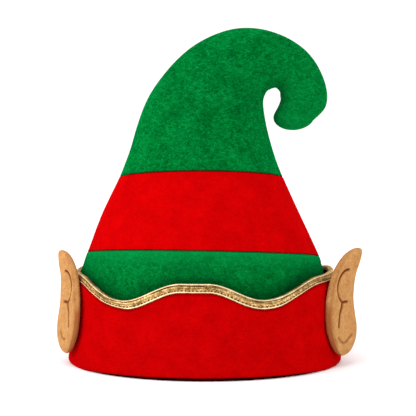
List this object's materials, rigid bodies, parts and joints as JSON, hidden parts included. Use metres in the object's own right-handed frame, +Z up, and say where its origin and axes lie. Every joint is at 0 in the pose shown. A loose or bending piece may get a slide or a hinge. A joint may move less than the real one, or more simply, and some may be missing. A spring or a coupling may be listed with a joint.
{
  "type": "elf hat",
  "caption": "Soft banded elf hat with a curled tip, a turned-up cuff bound in gold ribbon and padded felt ears, worn on the head as a costume.",
  "frame": {"origin": "on the surface that the cuff rests on, under the middle of the hat's bounding box", "axes": "+X towards the side that the tip curls to, +Y from the front of the hat to its back, +Z up"},
  "size_m": [0.2662, 0.2082, 0.2904],
  "materials": {
    "green": "brushed fleece",
    "red": "brushed fleece",
    "gold": "woven metallic ribbon",
    "felt": "matte felt"
  },
  "bodies": {
    "root": {"lower_front_panel": "green", "lower_back_panel": "green", "middle_front_panel": "red", "middle_back_panel": "red", "top_front_panel": "green", "top_back_panel": "green", "cuff": "red", "gold_trim": "gold", "left_ear": "felt", "right_ear": "felt"}
  },
  "joints": []
}
